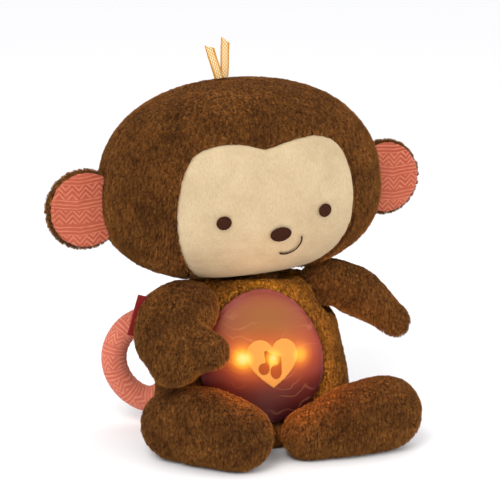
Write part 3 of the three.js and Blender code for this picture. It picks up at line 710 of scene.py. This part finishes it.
def finish_cover(cover, name):
    """Gives a cover its seams, puckers, dents and clumps, and says where its pile grows."""
    node, body, near = SOFT[name]
    points = points_of(cover)
    seam = seam_distance(name, points)
    ripple = 1 + 0.5 * noise_at(points, (160, 160, 160), 3)
    groove = 1.0 * MM * bell(seam, 1.2 * MM) * ripple
    puckers = 0.4 * MM * bell(seam, 7 * MM) * noise_at(points, (240, 240, 240), 5)
    clumps = CLUMP_RELIEF * noise_at(points, CLUMP_CELLS, 1)
    dents = 0.6 * MM * noise_at(points, (26, 26, 26), 2)
    push(cover, clumps + dents + puckers - groove - crease(name, points))
    gap = gap_to(points, near, 3 * MM)
    clear = np.clip((gap - 0.6 * MM) / (1.0 * MM), 0, 1)
    group_of(cover, "pile", clear * (1 - 0.6 * bell(seam, 0.7 * MM)))
    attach(cover, body)
    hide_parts(node)


def bulge(name, points, normals):
    """How far each point of a cover stands out from its CAD solid."""
    total = np.zeros(len(points))
    for centre, direction, height, reach in BULGES.get(name, ()):
        facing = np.clip(normals @ np.array(direction), 0, 1)
        away = np.linalg.norm(points - np.array(centre), axis=1)
        total += height * facing * bell(away, reach)
    return total


def crease(name, points):
    """Folds in the fabric where a limb bends or is pressed."""
    if name == "leg_right_cover":
        hip = np.array(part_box("leg_right")[0]) + np.array([16 * MM, 40 * MM, 20 * MM])
        along = np.array([0.6, -0.75, 0.25])
        fold = (points - hip) @ (along / np.linalg.norm(along))
        return 1.8 * MM * bell(fold, 2.2 * MM)
    return np.zeros(len(points))


def grow_pile(cover, strands, seed, fall=0.8):
    """Hair on a cover's group "pile". The strands lean down by fall times their rise."""
    cover.data.materials.append(strands.material)
    modifier = cover.modifiers.new("pile", "PARTICLE_SYSTEM")
    system = modifier.particle_system
    system.seed = seed
    system.vertex_group_density = "pile"
    settings = system.settings
    area = sum(polygon.area for polygon in cover.data.polygons)
    settings.type = "HAIR"
    settings.count = int(area / PILE_SPACING ** 2)
    settings.hair_step = 3
    settings.use_advanced_hair = True
    settings.hair_length = PILE_LENGTH
    settings.object_align_factor = (0, 0, -fall * PILE_LENGTH / STRAND_TIME)
    settings.factor_random = 0.2 * PILE_LENGTH / STRAND_TIME
    settings.use_modifier_stack = True
    settings.child_type = "INTERPOLATED"
    settings.child_percent = 0
    settings.rendered_child_count = 24
    settings.child_length = 1.0
    settings.clump_factor = 0.22
    settings.roughness_1 = 0.2 * MM
    settings.roughness_1_size = 0.8 * MM
    settings.roughness_2 = 0.35 * MM
    settings.roughness_2_size = 1.0 * MM
    settings.roughness_endpoint = 0.35 * MM
    settings.radius_scale = PILE_WIDTH
    settings.root_radius = 1.0
    settings.tip_radius = 0.35
    settings.render_step = 2
    settings.material = len(cover.data.materials)


# ---- the face, ears and tail ----
def make_face(surface):
    """The velour face, with its edge drawn down and wavy where it is sewn to the head."""
    panel = relaxed(remeshed("face_panel", "face_cover", 1.6 * MM), 14)
    points = points_of(panel)
    gap = gap_to(points, ["head_plush"], 4 * MM)
    edge = bell(gap, 1.6 * MM)
    waves = 0.5 * MM * bell(gap, 3.6 * MM) * noise_at(points, (210, 210, 210), 4)
    soft = 0.35 * MM * noise_at(points, (38, 38, 30), 6)
    push(panel, waves + soft - 1.0 * MM * edge - 0.2 * MM)
    refined(panel, 1)
    points = points_of(panel)
    push(panel, 0.05 * MM * noise_at(points, (900, 900, 450), 7))
    surface.use_on(panel)
    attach(panel, "head")
    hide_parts("face_panel")
    return panel


def make_stitching(surface):
    """The embroidered eyes, nose and mouth, with ridges where the threads lie."""
    for name in ("eye_right", "eye_left", "nose", "mouth"):
        patch = relaxed(remeshed(name, f"{name}_stitching", 0.24 * MM), 3)
        points = points_of(patch)
        centre = points.mean(0)
        reach = np.linalg.norm((points - centre)[:, [0, 2]], axis=1)
        dome = 1 - (reach / reach.max()) ** 2
        sink = 0
        if name == "mouth":
            dome = np.zeros(len(points))
            sink = MOUTH_SINK
            corner = points[np.argmax(points[:, 2])]
            set_points(patch, corner + (points - corner) * MOUTH_SCALE)
            points = points_of(patch)
        ridges = np.abs(np.sin(np.pi * (points[:, 2] + 0.35 * points[:, 0]) / STITCH_PITCH))
        front = normals_of(patch)[:, 1] < -0.2
        push(patch, sink + front * (0.10 * MM * ridges + 0.35 * MM * dome))
        surface.use_on(patch)
        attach(patch, "head")
        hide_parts(name)


def make_ears(cover_surface, strands, cotton):
    """Both ears: a plush back, and a printed lining that is dished and runs out to the rim."""
    for side, seed in (("right", 21), ("left", 22)):
        body = f"ear_{side}"
        back = relaxed(remeshed(f"ear_{side}_back", f"ear_{side}_cover", 1.7 * MM), 8)
        push(back, np.full(len(back.data.vertices), -0.5 * MM))
        refined(back, 1)
        points = points_of(back)
        push(back, 0.25 * MM * noise_at(points, (620, 620, 400), seed))
        gap = gap_to(points, [f"ear_{side}_lining"], 2 * MM)
        group_of(back, "pile", np.clip((gap - 0.5 * MM) / (0.6 * MM), 0, 1))
        cover_surface.use_on(back)
        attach(back, body)
        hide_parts(f"ear_{side}_back")
        grow_pile(back, strands, seed, 0.1)

        lining = relaxed(remeshed(f"ear_{side}_lining", f"ear_{side}_print", 1.1 * MM), 6)
        points = points_of(lining)
        centre = np.array(middle(f"ear_{side}_back"))
        reach = np.linalg.norm((points - centre)[:, [0, 2]], axis=1)
        dish = np.clip(1 - (reach / EAR_DISH_RADIUS) ** 2, 0, 1)
        wrinkles = 0.25 * MM * noise_at(points, (70, 70, 130), seed + 4)
        facing = np.where(normals_of(lining)[:, 1] < 0, 1, -1)
        push(lining, wrinkles - facing * EAR_DISH_DEPTH * dish)
        spread = points_of(lining)
        spread += (spread - centre) * np.array((0.09, 0, 0.09)) - np.array((0, 0.7 * MM, 0))
        set_points(lining, spread)
        refined(lining, 1)
        points = points_of(lining)
        across, rise = points[:, 0] - centre[0], points[:, 2] - centre[2]
        mark(lining, "u", across + ABOVE_ZERO)
        mark(lining, "v", rise - 0.12 * np.abs(across) + ABOVE_ZERO)
        cotton.use_on(lining)
        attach(lining, body)
        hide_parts(f"ear_{side}_lining")


def make_tail(cotton):
    """The tail, with pleats and a seam inside its bend. Its print runs round the bend."""
    tail = relaxed(remeshed("tail", "tail_cover", 1.8 * MM), 10)
    refined(tail, 1)
    points = points_of(tail)
    centre = np.array((TAIL_LOW + TAIL_HIGH) / 2)
    outer = (TAIL_HIGH.z - TAIL_LOW.z) / 2
    ring = centre + np.array([outer - (TAIL_HIGH.x - TAIL_LOW.x) / 2, -6 * MM, 0])
    away = points - ring
    angle = np.arctan2(away[:, 2], -away[:, 0])
    reach = np.hypot(away[:, 0], away[:, 2])
    inner = np.clip((outer - 10 * MM - reach) / (8 * MM), 0, 1)
    pleats = np.sin(angle * TAIL_PLEATS + 3 * noise_at(points, (60, 60, 60), 8))
    seam = bell(points[:, 1] - ring[1] - 6 * MM, 1.0 * MM) * inner
    relief = 0.16 * MM * inner * pleats + 0.4 * MM * noise_at(points, (50, 50, 50), 9)
    push(tail, relief - 0.5 * MM * seam)
    mark(tail, "u", points[:, 1] * 1.2 + reach * 0.8 + ABOVE_ZERO)
    mark(tail, "v", (angle + math.pi) * TAIL_PRINT_RADIUS)
    cotton.use_on(tail)
    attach(tail, "tail")
    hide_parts("tail")


def make_neck(cover_surface, strands):
    neck = relaxed(remeshed("neck_plush", "neck_cover", 2.5 * MM), 6)
    refined(neck, 1)
    points = points_of(neck)
    push(neck, 0.25 * MM * noise_at(points, CLUMP_CELLS, 31) - 0.4 * MM)
    gap = gap_to(points, ["torso_plush", "head_plush", "face_panel"], 3 * MM)
    group_of(neck, "pile", np.clip((gap - 1.0 * MM) / (1.0 * MM), 0, 1))
    cover_surface.use_on(neck)
    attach(neck, "neck")
    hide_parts("neck_plush")
    grow_pile(neck, strands, 31)


# ---- ribbons, tag and back flap ----
def main_axes(points):
    """The middle of a piece, and the directions in which it is longest, wide and thinnest."""
    centre = points.mean(0)
    directions = np.linalg.eigh(np.cov((points - centre).T))[1]
    return centre, directions.T[::-1]


def make_ribbons(weave):
    for side in ("left", "right"):
        strip = relaxed(remeshed(f"ribbon_{side}", f"ribbon_{side}_weave", 0.3 * MM), 2)
        points = points_of(strip)
        centre, (along, across, thin) = main_axes(points)
        mark(strip, "u", (points - centre) @ across)
        mark(strip, "v", (points - centre) @ along + ABOVE_ZERO)
        wave = 0.35 * MM * np.sin((points - centre) @ along / (4 * MM))
        set_points(strip, points + wave.reshape(-1, 1) * thin)
        weave.use_on(strip)
        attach(strip, "head")
        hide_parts(f"ribbon_{side}")


def make_tag(woven):
    """A woven band folded in two: the fold is outside and the ends are sewn into the arm."""
    centre = np.array(middle("woven_tag"))
    along = np.array((math.sin(TAG_LEAN), 0, math.cos(TAG_LEAN)))
    inward = np.array((math.cos(TAG_LEAN), 0, -math.sin(TAG_LEAN)))
    radius = TAG_LEAF_GAP / 2
    leaf = TAG_WIDTH - radius
    flat_width = 2 * leaf + math.pi * radius
    rows, columns = 41, 57
    corners = []
    for row in range(rows):
        rise = (row / (rows - 1) - 0.5) * TAG_LENGTH
        for column in range(columns):
            walked = column / (columns - 1) * flat_width
            if walked < leaf:
                depth, across = -radius, TAG_WIDTH / 2 - walked
            elif walked > flat_width - leaf:
                depth, across = radius, TAG_WIDTH / 2 - (flat_width - walked)
            else:
                turn = (walked - leaf) / radius
                depth = -radius * math.cos(turn)
                across = -TAG_WIDTH / 2 + radius * (1 - math.sin(turn))
            wave = 0.25 * MM * math.sin(rise / (5 * MM) + 1) * (TAG_WIDTH / 2 - across) / TAG_WIDTH
            corners.append(centre + rise * along + across * inward + np.array((0, depth + wave, 0)))
    faces = []
    for row in range(rows - 1):
        for column in range(columns - 1):
            first = row * columns + column
            faces.append((first, first + columns, first + columns + 1, first + 1))
    tag = built("folded_tag", corners, faces)
    cloth = tag.modifiers.new("cloth", "SOLIDIFY")
    cloth.thickness = TAG_CLOTH
    cloth.offset = 0
    settle(tag)
    tag.data.shade_smooth()
    woven.use_on(tag)
    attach(tag, "arm_right")
    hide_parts("woven_tag")


def make_flap(cover_surface, strands):
    """The back flap, with pile on its outside only."""
    flap = relaxed(remeshed("back_flap", "back_flap_cover", 1.8 * MM), 6)
    refined(flap, 1)
    points = points_of(flap)
    outward = np.clip((normals_of(flap)[:, 1] - 0.05) / 0.3, 0, 1)
    clumps = CLUMP_RELIEF * noise_at(points, CLUMP_CELLS, 41)
    push(flap, outward * (clumps - 0.8 * MM))
    group_of(flap, "pile", outward)
    cover_surface.use_on(flap)
    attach(flap, "back_flap")
    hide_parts("back_flap")
    grow_pile(flap, strands, 41)


# ---- the sound and light unit, whose CAD shapes stay ----
def dress(surface, *nodes):
    """Gives CAD nodes a material and leaves their meshes alone."""
    for name in nodes:
        for place in NODES[name].material_slots:
            place.material = surface.material


def make_spring(steel):
    """The spring behind the press plate, copied from its CAD shape."""
    coil = copy_of("press_spring", "press_coil")
    steel.use_on(coil)
    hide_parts("press_spring")
    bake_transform(coil)


def soften_edges(width, *nodes):
    for name in nodes:
        weld = NODES[name].modifiers.new("joined corners", "WELD")
        weld.merge_threshold = 0.01 * MM
        bevel = NODES[name].modifiers.new("soft edges", "BEVEL")
        bevel.width = width
        bevel.segments = 2
        bevel.limit_method = "ANGLE"
        bevel.angle_limit = math.radians(35)


def dress_unit():
    case = moulded_plastic("case_plastic", (226, 221, 208), 0.45)
    dress(case, "front_shell", "rear_shell", "battery_door")
    dress(glowing("diffuser", (255, 214, 150), 0.25), "press_plate")
    dress(glowing("led", (255, 200, 97), 1.5), "led_right", "led_middle", "led_left")
    dress(circuit_green(), "circuit_board")
    dress(moulded_plastic("dark_plastic", (42, 42, 45), 0.5), "speaker", "tact_switch", "volume_knob")
    dress(plain("red_wire", (168, 28, 22), 0.4), "battery_wire", "speaker_wire")
    dress(printed_cell(), "battery_1", "battery_2", "battery_3")
    dress(plain("hook_and_loop", (66, 40, 22), 0.95, 0.5), "torso_hook_strip", "flap_loop_strip")
    screws = [f"case_screw_{number}" for number in (1, 2, 3, 4)] + ["door_screw"]
    steel = metal("steel", (186, 188, 190), 0.3)
    dress(steel, *screws, "contact_spring_plate", "contact_button_plate")
    make_spring(steel)
    soften_edges(0.4 * MM, "battery_door", "volume_knob", "front_shell", "rear_shell")
    soften_edges(0.15 * MM, *screws)


# ---- the belly ----
def make_belly(skin, heart_surface, note_surface):
    """The belly's cover, raised a little inside its piping, and the heart and note on it."""
    panel = relaxed(remeshed("belly_panel", "belly_cover", 1.8 * MM), 10)
    refined(panel, 1)
    points = points_of(panel)
    half = (BELLY_HIGH - BELLY_LOW) / 2
    across = (points[:, 0] - BELLY_MIDDLE.x) / half.x
    rise = (points[:, 2] - BELLY_MIDDLE.z) / half.z
    egg = np.hypot(across / (1 - EGG_TAPER * rise), rise)
    piping = bell(egg - PIPING_AT, 0.02)
    front = normals_of(panel)[:, 1] < 0
    push(panel, front * (0.3 * MM * (egg < PIPING_AT) - 0.25 * MM * piping))
    widened = points_of(panel)
    centre = np.array(BELLY_MIDDLE)
    widened += (widened - centre) * np.array((BELLY_OVERLAP, 0, BELLY_OVERLAP))
    set_points(panel, widened)
    mark(panel, "u", np.clip(egg, 0, 1))
    mark(panel, "v", (rise + 1) / 2)
    skin.use_on(panel)
    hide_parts("belly_panel")
    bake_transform(panel)

    heart = relaxed(remeshed("heart_badge", "heart_patch", 0.55 * MM), 4)
    heart_surface.use_on(heart)
    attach(heart, "belly")
    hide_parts("heart_badge")
    note = make_note()
    note_surface.use_on(note)
    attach(note, "belly")


def note_outlines():
    """Two joined notes in the plane of the heart, as closed outlines in metres."""
    low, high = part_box("heart_badge")
    centre_x = (low.x + high.x) / 2 - 1.2 * MM
    centre_z = (low.z + high.z) / 2

    def placed(points):
        return [(centre_x + x * MM, centre_z + z * MM) for x, z in points]

    def head(x, z, half_width, half_height):
        turns = [2 * math.pi * side / NOTE_SIDES for side in range(NOTE_SIDES)]
        return placed([(x + half_width * math.cos(t), z + half_height * math.sin(t)) for t in turns])

    return [
        head(-5.4, -2.7, 3.7, 3.9),
        head(3.0, -5.0, 3.9, 4.9),
        placed([(-3.9, -2), (-1.7, -2), (-2.2, 9.2), (-4.6, 9.2)]),
        placed([(4.6, -5), (6.9, -5), (6.9, 4.6), (4.6, 4.6)]),
        placed([(-4.6, 5.2), (6.9, 1.4), (6.9, 4.8), (-4.6, 9.2)]),
    ]


def make_note():
    """A thin raised print of two joined notes that follows the heart's curve."""
    corners, faces = [], []
    for outline in note_outlines():
        first = len(corners)
        count = len(outline)
        for y in (NOTE_FRONT, NOTE_BACK):
            corners += [(x, y, z) for x, z in outline]
        faces.append([first + i for i in range(count)])
        faces.append([first + count + i for i in reversed(range(count))])
        for i in range(count):
            after = (i + 1) % count
            faces.append([first + i, first + count + i, first + count + after, first + after])
    note = voxelised(built("music_note", corners, faces), 0.5 * MM, False)
    points = points_of(note)
    tree = tree_of("heart_badge")
    before_heart = 2 * NOTE_FRONT
    beside_heart = -0.054
    front = points[:, 1] < (NOTE_FRONT + NOTE_BACK) / 2
    for index, point in enumerate(points):
        start = Vector((point[0], before_heart, point[2]))
        hit = tree.ray_cast(start, Vector((0, 1, 0)))[0]
        depth = 0.45 * MM if front[index] else -0.1 * MM
        points[index, 1] = (hit.y if hit else beside_heart) - depth
    set_points(note, points)
    return note


# ---- stage ----
def make_camera():
    azimuth, elevation = math.radians(CAMERA_AZIMUTH), math.radians(CAMERA_ELEVATION)
    flat = math.cos(elevation)
    back = Vector((math.sin(azimuth) * flat, -math.cos(azimuth) * flat, math.sin(elevation)))
    data = bpy.data.cameras.new("camera")
    data.lens = CAMERA_LENS
    data.shift_x, data.shift_y = CAMERA_SHIFT
    camera = add_object("camera", data)
    camera.location = CAMERA_AIM + CAMERA_DISTANCE * back
    camera.rotation_euler = (-back).to_track_quat("-Z", "Y").to_euler()
    bpy.context.scene.camera = camera


def make_lamp(name, place, size, power, colour):
    """A round area light that points at the middle of the monkey."""
    data = bpy.data.lights.new(name, "AREA")
    data.shape = "DISK"
    data.size = size
    data.energy = power
    data.color = colour
    light = add_object(name, data)
    light.location = place
    light.rotation_euler = (Vector(LAMP_AIM) - Vector(place)).to_track_quat("-Z", "Y").to_euler()
    light.visible_camera = False


def make_stage():
    scene = bpy.context.scene
    scene.view_settings.view_transform = "Standard"
    world = bpy.data.worlds.new("studio")
    scene.world = world
    world.use_nodes = True
    background = world.node_tree.nodes["Background"]
    background.inputs["Color"].default_value = (1, 1, 1, 1)
    background.inputs["Strength"].default_value = 1.0
    corners = [(FLOOR_REACH * x, FLOOR_REACH * y, 0) for x, y in ((-1, -1), (1, -1), (1, 1), (-1, 1))]
    floor = built("floor", corners, [(0, 1, 2, 3)])
    Surface("floor", (250, 250, 252), Roughness=0.8).use_on(floor)
    make_lamp("key", (-0.9, -1.3, 1.5), 1.1, 26, (1.0, 0.97, 0.93))
    make_lamp("fill", (1.3, -1.0, 0.7), 1.2, 8, (1.0, 0.95, 0.9))


def glow_lights(around, torso, face):
    """The warm light that the belly throws on what is round it, each light on its own pieces."""
    front = BELLY_LOW.y - 14 * MM
    top = BELLY_HIGH.z
    right = BELLY_LOW.x + 6 * MM
    left = BELLY_HIGH.x + 2 * MM
    height = BELLY_MIDDLE.z
    orange, amber, peach = (1.0, 0.38, 0.05), (1.0, 0.88, 0.11), (1.0, 0.55, 0.30)
    # place, power, colour and the pieces that are lit
    sources = [(spot.x, front, spot.z, 0.055, orange, around) for spot in LED_SPOTS]
    sources += [
        (BELLY_MIDDLE.x, front + 2 * MM, top + 5 * MM, 0.17, amber, torso),
        (right, front, height + 24 * MM, 0.08, amber, torso),
        (left, front, height + 20 * MM, 0.05, amber, torso),
        (left, front, height - 14 * MM, 0.02, amber, torso),
        (BELLY_MIDDLE.x, front - 12 * MM, top, 0.03, peach, face),
    ]
    groups = {}
    for number, (x, y, z, power, colour, lit) in enumerate(sources):
        key = tuple(thing.name for thing in lit)
        if key not in groups:
            groups[key] = bpy.data.collections.new(f"lit_{len(groups)}")
            for thing in lit:
                groups[key].objects.link(thing)
        data = bpy.data.lights.new(f"glow_{number}", "POINT")
        data.energy = power
        data.color = colour
        data.shadow_soft_size = 14 * MM
        light = add_object(f"glow_{number}", data)
        light.location = (x, y, z)
        light.visible_camera = False
        light.light_linking.receiver_collection = groups[key]


# ---- put it together ----
make_camera()
make_stage()
cover_surface = plush_cover()
strand_surface = pile_strands()
covers = make_soft_covers()
for seed, cover in enumerate(covers.values(), start=1):
    cover_surface.use_on(cover)
    grow_pile(cover, strand_surface, seed)
velour_surface, thread_surface = velour(), thread()
face = make_face(velour_surface)
make_stitching(thread_surface)
make_ears(
    cover_surface,
    strand_surface,
    printed_cotton("ear_cotton", [(150, 66, 46), (168, 82, 60)], (188, 110, 84)),
)
make_tail(printed_cotton("tail_cotton", [(182, 88, 68), (198, 106, 84)], (212, 134, 110)))
make_neck(cover_surface, strand_surface)
make_ribbons(gold_ribbon())
make_tag(red_tag())
make_flap(cover_surface, strand_surface)
make_belly(belly_skin(), heart_print(), note_print())
dress_unit()
glow_lights(list(covers.values()), [covers["torso_cover"]], [face])
